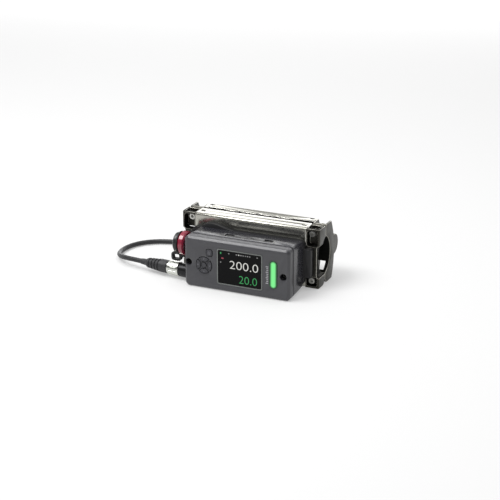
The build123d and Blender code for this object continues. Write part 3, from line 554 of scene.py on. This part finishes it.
class Dressing:
    """Puts a finish on every carried-over node and rounds the rigid ones, with painted highlight on some
    bevels and painted shade in some recesses.
    """

    rounded: dict[str, EdgeRounding] = {
        "front_cover": EdgeRounding(0.3),
        # Case notches, channel insides and cheek seats take painted shade; channel and cheek bevels take
        # painted highlight.
        "rear_case": EdgeRounding(0.2, None, NOTCH_SHADE, in_latch_notch),
        "front_channel": EdgeRounding(0.35, RAIL_EDGE_HIGHLIGHT, RAIL_INSIDE_SHADE, looks_at_pipe),
        "rear_channel": EdgeRounding(0.3, RAIL_EDGE_HIGHLIGHT, RAIL_INSIDE_SHADE, looks_at_pipe),
        "sensor_body": EdgeRounding(0.4),
        "front_cheek_left": EdgeRounding(0.35, CAST_EDGE_HIGHLIGHT, CAST_SEAT_SHADE, in_seat_or_pocket),
        "front_cheek_right": EdgeRounding(0.35, CAST_EDGE_HIGHLIGHT, CAST_SEAT_SHADE, in_seat_or_pocket),
        "rear_cheek_left": EdgeRounding(0.35, CAST_EDGE_HIGHLIGHT, CAST_SEAT_SHADE, in_seat_or_pocket),
        "rear_cheek_right": EdgeRounding(0.35, CAST_EDGE_HIGHLIGHT, CAST_SEAT_SHADE, in_seat_or_pocket),
        "display_frame": EdgeRounding(0.12), "port_cap": EdgeRounding(0.3),
    }

    def build(self) -> None:
        """Dress the nodes, then round the edges that show."""
        for name, node in frame["nodes"].items():
            if name in NODE_FINISH:
                node.data.materials.clear()
                node.data.materials.append(material_of(NODE_FINISH[name]))
        for name, rounding in self.rounded.items():
            rounding.apply(name)
            LOG.info("rounded %s by %.2f mm", name, rounding.radius_mm)


@dataclass
class Display:
    """What the lit display shows: two readings and a few plain marks."""

    middle_x: float = 12.6
    reading_low: float = 24.5
    reading_tall: float = 8.1
    reading_stretch: float = 1.17
    second_x: float = 16.9
    second_low: float = 10.8
    second_tall: float = 7.8
    pixel_depth: float = 0.04
    thinning: float = -0.012

    def face_y(self) -> float:
        """Front of the window, in millimetres."""
        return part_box("display_window")[0].y / MM

    def digits(self, name: str, words: str, middle_x: float, low_z: float, tall: float,
               finish: Finish, stretch: float = 1.0) -> bpy.types.Object:
        """Write a number on the window.

        Args:
            name: piece name.
            words: the figures.
            middle_x: middle of the number along X, in millimetres.
            low_z: height of its foot.
            tall: height of a figure.
            finish: finish of its pixels.
            stretch: width of the figures against their usual one.

        Returns:
            The piece.
        """
        curve = bpy.data.curves.new(name, "FONT")
        curve.offset = self.thinning
        curve.body = words
        curve.align_x = "CENTER"
        curve.size = 1.0
        curve.extrude = 0.001
        draft = bpy.data.objects.new(name + "_draft", curve)
        bpy.context.scene.collection.objects.link(draft)
        bpy.context.view_layer.update()
        mesh = bpy.data.meshes.new_from_object(draft.evaluated_get(bpy.context.evaluated_depsgraph_get()))
        bpy.data.objects.remove(draft)
        bpy.data.curves.remove(curve)
        shape = bmesh.new()
        shape.from_mesh(mesh)
        bpy.data.meshes.remove(mesh)
        top = max(vertex.co.y for vertex in shape.verts)
        scale = tall * MM / top
        depth = self.pixel_depth * MM
        face_y = self.face_y()
        for vertex in shape.verts:
            flat = vertex.co.copy()
            behind = depth if flat.z < 0 else 0.0
            vertex.co = Vector((
                flat.x * scale * stretch + middle_x * MM, face_y * MM - depth + behind,
                flat.y * scale + low_z * MM,
            ))
        bmesh.ops.recalc_face_normals(shape, faces=shape.faces)
        return new_piece(name, shape, finish, Body.SENSOR.value)

    def mark(self, name: str, x: float, z: float, wide: float, tall: float,
             finish: Finish) -> bpy.types.Object:
        """A small block of lit pixels, in millimetres."""
        shape = bmesh.new()
        block(shape, x, self.face_y() - self.pixel_depth / 2, z, wide, self.pixel_depth, tall)
        upright = [edge for edge in shape.edges if abs(edge.verts[0].co.y - edge.verts[1].co.y) > 1e-6]
        bmesh.ops.bevel(shape, geom=upright, offset=0.2 * min(wide, tall) * MM, segments=2, profile=0.5,
                        affect="EDGES", material=-1)
        return new_piece(name, shape, finish, Body.SENSOR.value)

    def build(self) -> None:
        """Write the readings and marks."""
        pieces = [
            self.digits("reading_main", "200.0", self.middle_x, self.reading_low, self.reading_tall,
                        PIXEL_WHITE, self.reading_stretch),
            self.digits("reading_second", "20.0", self.second_x, self.second_low, self.second_tall,
                        PIXEL_GREEN),
            self.mark("mark_left_top", -11.6, 39.1, 1.3, 1.9, PIXEL_GREEN),
            self.mark("mark_left_middle", -9.8, 34.0, 2.4, 1.3, PIXEL_RED),
            self.mark("mark_left_low", -11.7, 29.8, 1.1, 1.4, PIXEL_GREY),
            self.mark("mark_top", -3.1, 39.5, 1.4, 1.0, PIXEL_GREY),
            self.mark("mark_right", 26.5, 39.5, 1.2, 1.2, PIXEL_GREY),
        ]
        for number, wide in enumerate((1.5, 1.1, 1.8, 1.3, 1.0, 1.6, 1.2)):
            x = 5.0 + 2.3 * number
            pieces.append(self.mark(f"mark_label_{number + 1}", x, 39.5, wide, 1.1,
                                    PIXEL_WHITE if number == 1 else PIXEL_GREY))
        LOG.info("display: %d marks", len(pieces))


@dataclass
class Legends:
    """Pad-printed marks: arrows on the keys and a plain scale beside the light bar."""

    print_depth: float = 0.03
    arrow_radius: float = 0.85
    arrow_place: float = 6.2
    pad_x: float = -29.3
    pad_z: float = 24.1
    menu_x: float = -23.6
    menu_z: float = 37.4
    scale_x: float = 36.8
    scale_low: float = 15.8
    scale_step: float = 1.85
    scale_marks: int = 10

    def plate(self, name: str, body: str, front: float, x: float, z: float, wide: float, tall: float,
              finish: Finish) -> None:
        """A thin printed bar on a surface whose front is at a given Y, in millimetres."""
        shape = bmesh.new()
        block(shape, x, front - self.print_depth / 2, z, wide, self.print_depth, tall)
        new_piece(name, shape, finish, body)

    def arrow(self, key: str, turn: float) -> None:
        """A small triangle that points away from the pad's middle."""
        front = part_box(key)[0].y / MM
        angle = math.radians(turn)
        x = self.pad_x + self.arrow_place * math.cos(angle)
        z = self.pad_z + self.arrow_place * math.sin(angle)
        quarter = math.radians(90)
        upright = Matrix.Rotation(quarter, 4, "X") @ Matrix.Rotation(angle - quarter, 4, "Z")
        place = Matrix.Translation((x * MM, (front - self.print_depth / 2) * MM, z * MM))
        shape = bmesh.new()
        bmesh.ops.create_cone(
            shape, cap_ends=True, segments=3, radius1=self.arrow_radius * MM,
            radius2=self.arrow_radius * MM, depth=self.print_depth * MM, matrix=place @ upright,
        )
        new_piece(f"{key}_arrow", shape, LEGEND, key)

    def build(self) -> None:
        """Print the keys and the scale."""
        for key, turn in (("key_right", 0), ("key_up", 90), ("key_left", 180), ("key_down", 270)):
            self.arrow(key, turn)
        menu_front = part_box("key_menu")[0].y / MM
        for number in range(3):
            self.plate(f"menu_bar_{number + 1}", "key_menu", menu_front, self.menu_x,
                       self.menu_z + 1.1 * (number - 1), 2.6, 0.4, LEGEND)
        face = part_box("front_cover")[0].y / MM
        for number in range(self.scale_marks):
            long_mark = number % 3 == 0
            x = self.scale_x + (0 if long_mark else 0.4)
            self.plate(f"scale_mark_{number + 1}", Body.SENSOR.value, face, x,
                       self.scale_low + self.scale_step * number, 2.6 if long_mark else 1.8, 0.9, PRINT)


@dataclass
class Threads:
    """Rolled M4 threads on the clamp screws."""

    crest: float = 2.12
    root: float = 1.9
    pitch: float = 0.7
    steps: int = 20
    turns: int = 26
    tip_spare: float = 0.6
    foot: float = 0.28
    flat: float = 0.05

    def build(self) -> None:
        """Wind one ridge round each shank."""
        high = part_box("clamp_screws")[1] / MM
        shape = bmesh.new()
        for x in SCREW_PLACES:
            for z in SCREW_HEIGHTS:
                self.ridge(shape, x, z, high.y - self.tip_spare)
        LOG.info("threads: screws end at %.1f mm", high.y)
        new_piece("screw_threads", shape, FASTENER, Body.SENSOR.value, 50.0)

    def ridge(self, shape: bmesh.types.BMesh, x: float, z: float, tip: float) -> None:
        """One ridge that ends at the tip and winds back along the shank."""
        section = (
            (self.root, -self.foot), (self.crest, -self.flat), (self.crest, self.flat), (self.root, self.foot)
        )
        corners = [shape.verts.new(Vector((x + reach, tip + along, z)) * MM) for reach, along in section]
        face = shape.faces.new(corners)
        bmesh.ops.spin(
            shape, geom=[face, *face.edges, *face.verts], cent=Vector((x, tip, z)) * MM, axis=(0, 1, 0),
            dvec=(0, -self.pitch * MM / self.steps, 0), angle=math.tau * self.turns,
            steps=self.steps * self.turns,
        )
        bmesh.ops.recalc_face_normals(shape, faces=shape.faces)


@dataclass
class BoardParts:
    """Chips, a socket and small parts on the main board."""

    chips: tuple = (
        (-8.0, 16.0, 10.0, 10.0, 1.2), (12.0, 14.0, 7.0, 5.0, 1.0), (26.0, 34.0, 5.0, 4.0, 1.0),
        (-20.0, 36.0, 8.0, 6.0, 1.6), (30.0, 14.0, 4.0, 8.0, 1.4), (4.0, 36.0, 3.0, 1.6, 0.7),
        (10.0, 38.0, 3.0, 1.6, 0.7), (16.0, 38.0, 3.0, 1.6, 0.7),
    )

    def build(self) -> None:
        """Stand the parts on the back of the board."""
        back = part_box("main_board")[1].y / MM
        shape = bmesh.new()
        for x, z, wide, tall, high in self.chips:
            block(shape, x, back + high / 2, z, wide, high, tall)
        bmesh.ops.bevel(shape, geom=shape.edges[:], offset=0.12 * MM, segments=1, profile=0.5,
                        affect="EDGES", material=-1)
        new_piece("board_parts", shape, COMPONENT, Body.SENSOR.value)


@dataclass
class CordRun:
    """The cable: out of the boot, round behind the clamp and into its tied coil."""

    coil_x: float = -45.0
    coil_y: float = 89.4
    radius: float = 2.5
    outer_track: float = 32.5
    track_pitch: float = 5.0
    tracks: int = 3
    layers: int = 4
    low_centre: float = 3.5
    turn_points: int = 16
    shift_share: float = 0.2
    join_run: float = 24.0
    end_angle: float = 25.0
    port_x: float = -49.8
    port_y: float = -32.0
    port_z: float = 8.8
    port_tilt: float = 6.0
    boot_end: float = 60.0
    straight: float = 14.0
    lead_low: float = 16.85
    lead_radius: float = 0.75
    lead_run: float = 47.0
    lead_step: float = 3.0
    lead_steps: int = 24
    lead_start: float = 0.3
    lead_places: tuple = ((-1.7, 0.0), (0.0, 0.0), (1.7, 0.0), (-0.85, 1.55))
    lead_colours: tuple = ("#6a4630", "#e4e4e0", "#2f5f9e", "#19191b")
    tip_radius: float = 0.4
    tip_run: float = 7.0

    def along_port(self, distance: float) -> Vector:
        """Point on the connector's axis, in millimetres."""
        turn = math.radians(self.port_tilt)
        way = Vector((-math.cos(turn), math.sin(turn), 0.0))
        return Vector((self.port_x, self.port_y, self.port_z)) + way * distance

    def free_points(self) -> list[Vector]:
        """The route outside the coil, in millimetres."""
        join = Vector((self.coil_x, self.coil_y - self.outer_track, self.low_centre))
        return [
            self.along_port(self.boot_end), self.along_port(self.boot_end + self.straight),
            Vector((-138.2, -16.6, 6.4)), Vector((-149.0, -2.1, 3.2)), Vector((-151.5, 15.4, 2.8)),
            Vector((-146.0, 32.9, 2.8)), Vector((-132.5, 46.4, 2.8)), Vector((-113.0, 53.4, 2.8)),
            Vector((-92.0, 55.6, 3.0)), join - Vector((self.join_run, 0, 0)), join,
        ]

    def coil_points(self) -> list[Vector]:
        """Turn after turn, track beside track and layer on layer."""
        points = []
        step = 360 / self.turn_points
        grow = 1 / (0.75 + 0.25 * math.cos(math.radians(step)))
        total = self.tracks * self.layers * 360 - (270 - self.end_angle)
        for number in range(1, int(total / step) + 1):
            turned = number * step
            track, share = divmod(turned / 360, 1)
            shift = max(0.0, (share - (1 - self.shift_share)) / self.shift_share)
            shift = shift * shift * (3 - 2 * shift)
            here, there = self.track_place(int(track)), self.track_place(int(track) + 1)
            ring = here[0] + (there[0] - here[0]) * shift
            high = here[1] + (there[1] - here[1]) * shift
            angle = math.radians(-90 + turned)
            points.append(Vector((
                self.coil_x + ring * grow * math.cos(angle),
                self.coil_y + ring * grow * math.sin(angle), high,
            )))
        return points

    def track_place(self, number: int) -> tuple[float, float]:
        """Radius and height of a track, counted along the cable."""
        number = min(number, self.tracks * self.layers - 1)
        layer, within = divmod(number, self.tracks)
        inward = within if layer % 2 == 0 else self.tracks - 1 - within
        return self.outer_track - self.track_pitch * inward, self.low_centre + 2 * self.radius * layer

    def leads(self) -> bpy.types.Object:
        """Four stripped leads with tinned ends, lying in the coil's free track."""
        shape = bmesh.new()
        colours = self.lead_colours
        for number, (side, rise) in enumerate(self.lead_places):
            ring = self.outer_track + side
            height = self.lead_low + rise
            run = self.lead_run - self.lead_step * number
            self.lead_arc(shape, ring, height, self.lead_radius, run, number)
            self.lead_arc(shape, ring, height, self.tip_radius, run + self.tip_run, len(colours))
        finishes = [insulation(f"PVC_lead_{number + 1}", colour) for number, colour in enumerate(colours)]
        piece = new_piece("cable_leads_shape", shape, [*finishes, TINNED], Body.SENSOR.value)
        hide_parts("cable_leads")
        return piece

    def lead_arc(self, shape: bmesh.types.BMesh, ring: float, height: float, radius: float, run: float,
                 number: int) -> None:
        """One lead: a round section turned about the coil's axis by some degrees."""
        start = Matrix.Rotation(math.radians(self.end_angle + self.lead_start), 4, "Z")
        stand = Matrix.Rotation(math.radians(90), 4, "X")
        centre = Vector((self.coil_x, self.coil_y, 0.0)) * MM
        out = Matrix.Translation(Vector((ring, 0, height)) * MM)
        place = Matrix.Translation(centre) @ start @ out @ stand
        made = bmesh.ops.create_circle(shape, cap_ends=True, segments=10, radius=radius * MM, matrix=place)
        faces = list({face for vertex in made["verts"] for face in vertex.link_faces})
        edges = list({edge for vertex in made["verts"] for edge in vertex.link_edges})
        for face in faces:
            face.material_index = number
        before = set(shape.faces)
        bmesh.ops.spin(shape, geom=[*made["verts"], *edges, *faces], cent=centre, axis=(0, 0, 1),
                       dvec=(0, 0, 0), angle=math.radians(run), steps=self.lead_steps)
        for face in set(shape.faces) - before:
            face.material_index = number
        bmesh.ops.recalc_face_normals(shape, faces=shape.faces)

    def build(self) -> bpy.types.Object:
        """Lay the cable as one smooth curve."""
        points = self.free_points() + self.coil_points()
        curve = bpy.data.curves.new("cable_run", "CURVE")
        curve.dimensions = "3D"
        curve.bevel_depth = self.radius * MM
        curve.bevel_resolution = 5
        curve.use_fill_caps = True
        spline = curve.splines.new("NURBS")
        spline.points.add(len(points) - 1)
        for place, point in zip(spline.points, points):
            place.co = (*(point * MM), 1.0)
        spline.order_u = 3
        spline.use_endpoint_u = True
        spline.resolution_u = 4
        curve.materials.append(material_of(JACKET))
        cable = bpy.data.objects.new("cable_run", curve)
        bpy.context.scene.collection.objects.link(cable)
        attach(cable, Body.SENSOR.value)
        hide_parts("cable", "cable_coil")
        self.leads()
        LOG.info("cable: %d points", len(points))
        return cable


@dataclass
class Studio:
    """Plain pale floor, soft lamps and the camera at the photograph's angle."""

    azimuth: float = 24.03
    elevation: float = 20.18
    lens: float = 95.04
    camera_place: tuple[float, float, float] = (0.4957, -1.1152, 0.4768)
    floor_size: float = 30.0
    floor_drop: float = 0.0002
    floor_lift: float = 0.33
    seen_world: float = 0.93
    soft_world: float = 0.42
    front_share: float = 0.35
    upper_share: float = 0.55

    @staticmethod
    def seen(tree: bpy.types.NodeTree, path: bpy.types.Node) -> bpy.types.NodeSocket:
        """One for rays from the camera, also through something clear."""
        return put(tree, "ShaderNodeMath", {"operation": "MAXIMUM"}, {
            0: path.outputs["Is Camera Ray"], 1: path.outputs["Is Transmission Ray"],
        }).outputs["Value"]

    def lamp(self, name: str, place: Iterable[float], target: Iterable[float], size: tuple[float, float],
             power: float) -> None:
        """Soft rectangular lamp aimed at a point."""
        data = bpy.data.lights.new(name, "AREA")
        data.shape = "RECTANGLE"
        data.size, data.size_y = size
        data.energy = power
        lamp = bpy.data.objects.new(name, data)
        lamp.location = Vector(place)
        lamp.rotation_euler = (Vector(target) - Vector(place)).to_track_quat("-Z", "Y").to_euler()
        bpy.context.scene.collection.objects.link(lamp)

    def world(self) -> None:
        """White for the camera and reflections from behind, dimmer in front and for soft light."""
        world = bpy.data.worlds.new("studio")
        bpy.context.scene.world = world
        world.use_nodes = True
        tree = world.node_tree
        tree.nodes.clear()
        path = put(tree, "ShaderNodeLightPath")
        seen = self.seen(tree, path)
        coordinates = put(tree, "ShaderNodeTexCoord")
        parts = put(tree, "ShaderNodeSeparateXYZ", inputs={"Vector": coordinates.outputs["Generated"]})
        backward = put(tree, "ShaderNodeMapRange", {"interpolation_type": "SMOOTHSTEP"}, {
            "Value": parts.outputs["Y"], "From Min": -0.6, "From Max": 0.5,
            "To Min": self.front_share, "To Max": 1.0,
        })
        upward = put(tree, "ShaderNodeMapRange", {"interpolation_type": "SMOOTHSTEP"}, {
            "Value": parts.outputs["Z"], "From Min": 0.08, "From Max": 0.3,
            "To Min": 1.0, "To Max": self.upper_share,
        })
        behind = put(tree, "ShaderNodeMath", {"operation": "MULTIPLY"}, {
            0: backward.outputs["Result"], 1: upward.outputs["Result"],
        })
        mirrored = put(tree, "ShaderNodeMix", {"data_type": "FLOAT"}, {
            0: path.outputs["Is Glossy Ray"], 2: self.soft_world, 3: behind.outputs["Value"],
        })
        strength = put(tree, "ShaderNodeMix", {"data_type": "FLOAT"}, {
            0: seen, 2: mirrored.outputs[0], 3: self.seen_world,
        })
        background = put(tree, "ShaderNodeBackground", inputs={
            "Color": (1, 1, 1, 1), "Strength": strength.outputs[0],
        })
        put(tree, "ShaderNodeOutputWorld", inputs={"Surface": background.outputs["Background"]})

    def floor(self) -> None:
        """Pale floor that keeps the object's soft shadow."""
        shape = bmesh.new()
        bmesh.ops.create_grid(shape, x_segments=1, y_segments=1, size=self.floor_size / 2)
        bmesh.ops.translate(shape, verts=shape.verts, vec=(0, 0, -self.floor_drop))
        mesh = bpy.data.meshes.new("floor")
        shape.to_mesh(mesh)
        shape.free()
        material = bpy.data.materials.new("Painted_floor_white")
        material.use_nodes = True
        tree = material.node_tree
        tree.nodes.clear()
        path = put(tree, "ShaderNodeLightPath")
        seen = self.seen(tree, path)
        shown = put(tree, "ShaderNodeMath", {"operation": "MAXIMUM"}, {
            0: seen, 1: path.outputs["Is Glossy Ray"],
        })
        lift = put(tree, "ShaderNodeMath", {"operation": "MULTIPLY"}, {
            0: shown.outputs["Value"], 1: self.floor_lift,
        })
        paint = put(tree, "ShaderNodeBsdfDiffuse", inputs={"Color": (0.5, 0.5, 0.5, 1)})
        glow = put(tree, "ShaderNodeEmission", inputs={
            "Color": (1, 1, 1, 1), "Strength": lift.outputs["Value"],
        })
        both = put(tree, "ShaderNodeAddShader", inputs={
            0: paint.outputs["BSDF"], 1: glow.outputs["Emission"],
        })
        put(tree, "ShaderNodeOutputMaterial", inputs={"Surface": both.outputs["Shader"]})
        mesh.materials.append(material)
        floor = bpy.data.objects.new("floor", mesh)
        bpy.context.scene.collection.objects.link(floor)

    def camera(self) -> None:
        """Camera at the photograph's place and lens."""
        data = bpy.data.cameras.new("camera")
        data.lens = self.lens
        data.sensor_width = 36.0
        data.clip_end = 100.0
        camera = bpy.data.objects.new("camera", data)
        camera.location = self.camera_place
        camera.rotation_euler = Euler((math.radians(90 - self.elevation), 0, math.radians(self.azimuth)))
        bpy.context.scene.collection.objects.link(camera)
        bpy.context.scene.camera = camera

    def build(self) -> None:
        """Set the view, the lamps, the world, the floor and the camera."""
        bpy.context.scene.view_settings.view_transform = "Standard"
        self.world()
        self.floor()
        self.camera()
        middle = (0.0, 0.0, 0.03)
        self.lamp("key_left", (-0.65, -0.6, 1.45), middle, (0.9, 0.9), 22.0)
        self.lamp("overhead", (0.0, 0.1, 1.4), middle, (1.4, 0.9), 8.0)
        self.lamp("back_sweep", (-0.5, 1.7, 0.42), (0.0, 0.0, 0.05), (2.6, 0.9), 15.0)


def main() -> None:
    """Build the looks in order."""
    Studio().build()
    Dressing().build()
    Display().build()
    Legends().build()
    Threads().build()
    BoardParts().build()
    CordRun().build()


if __name__ == "__main__":
    main()
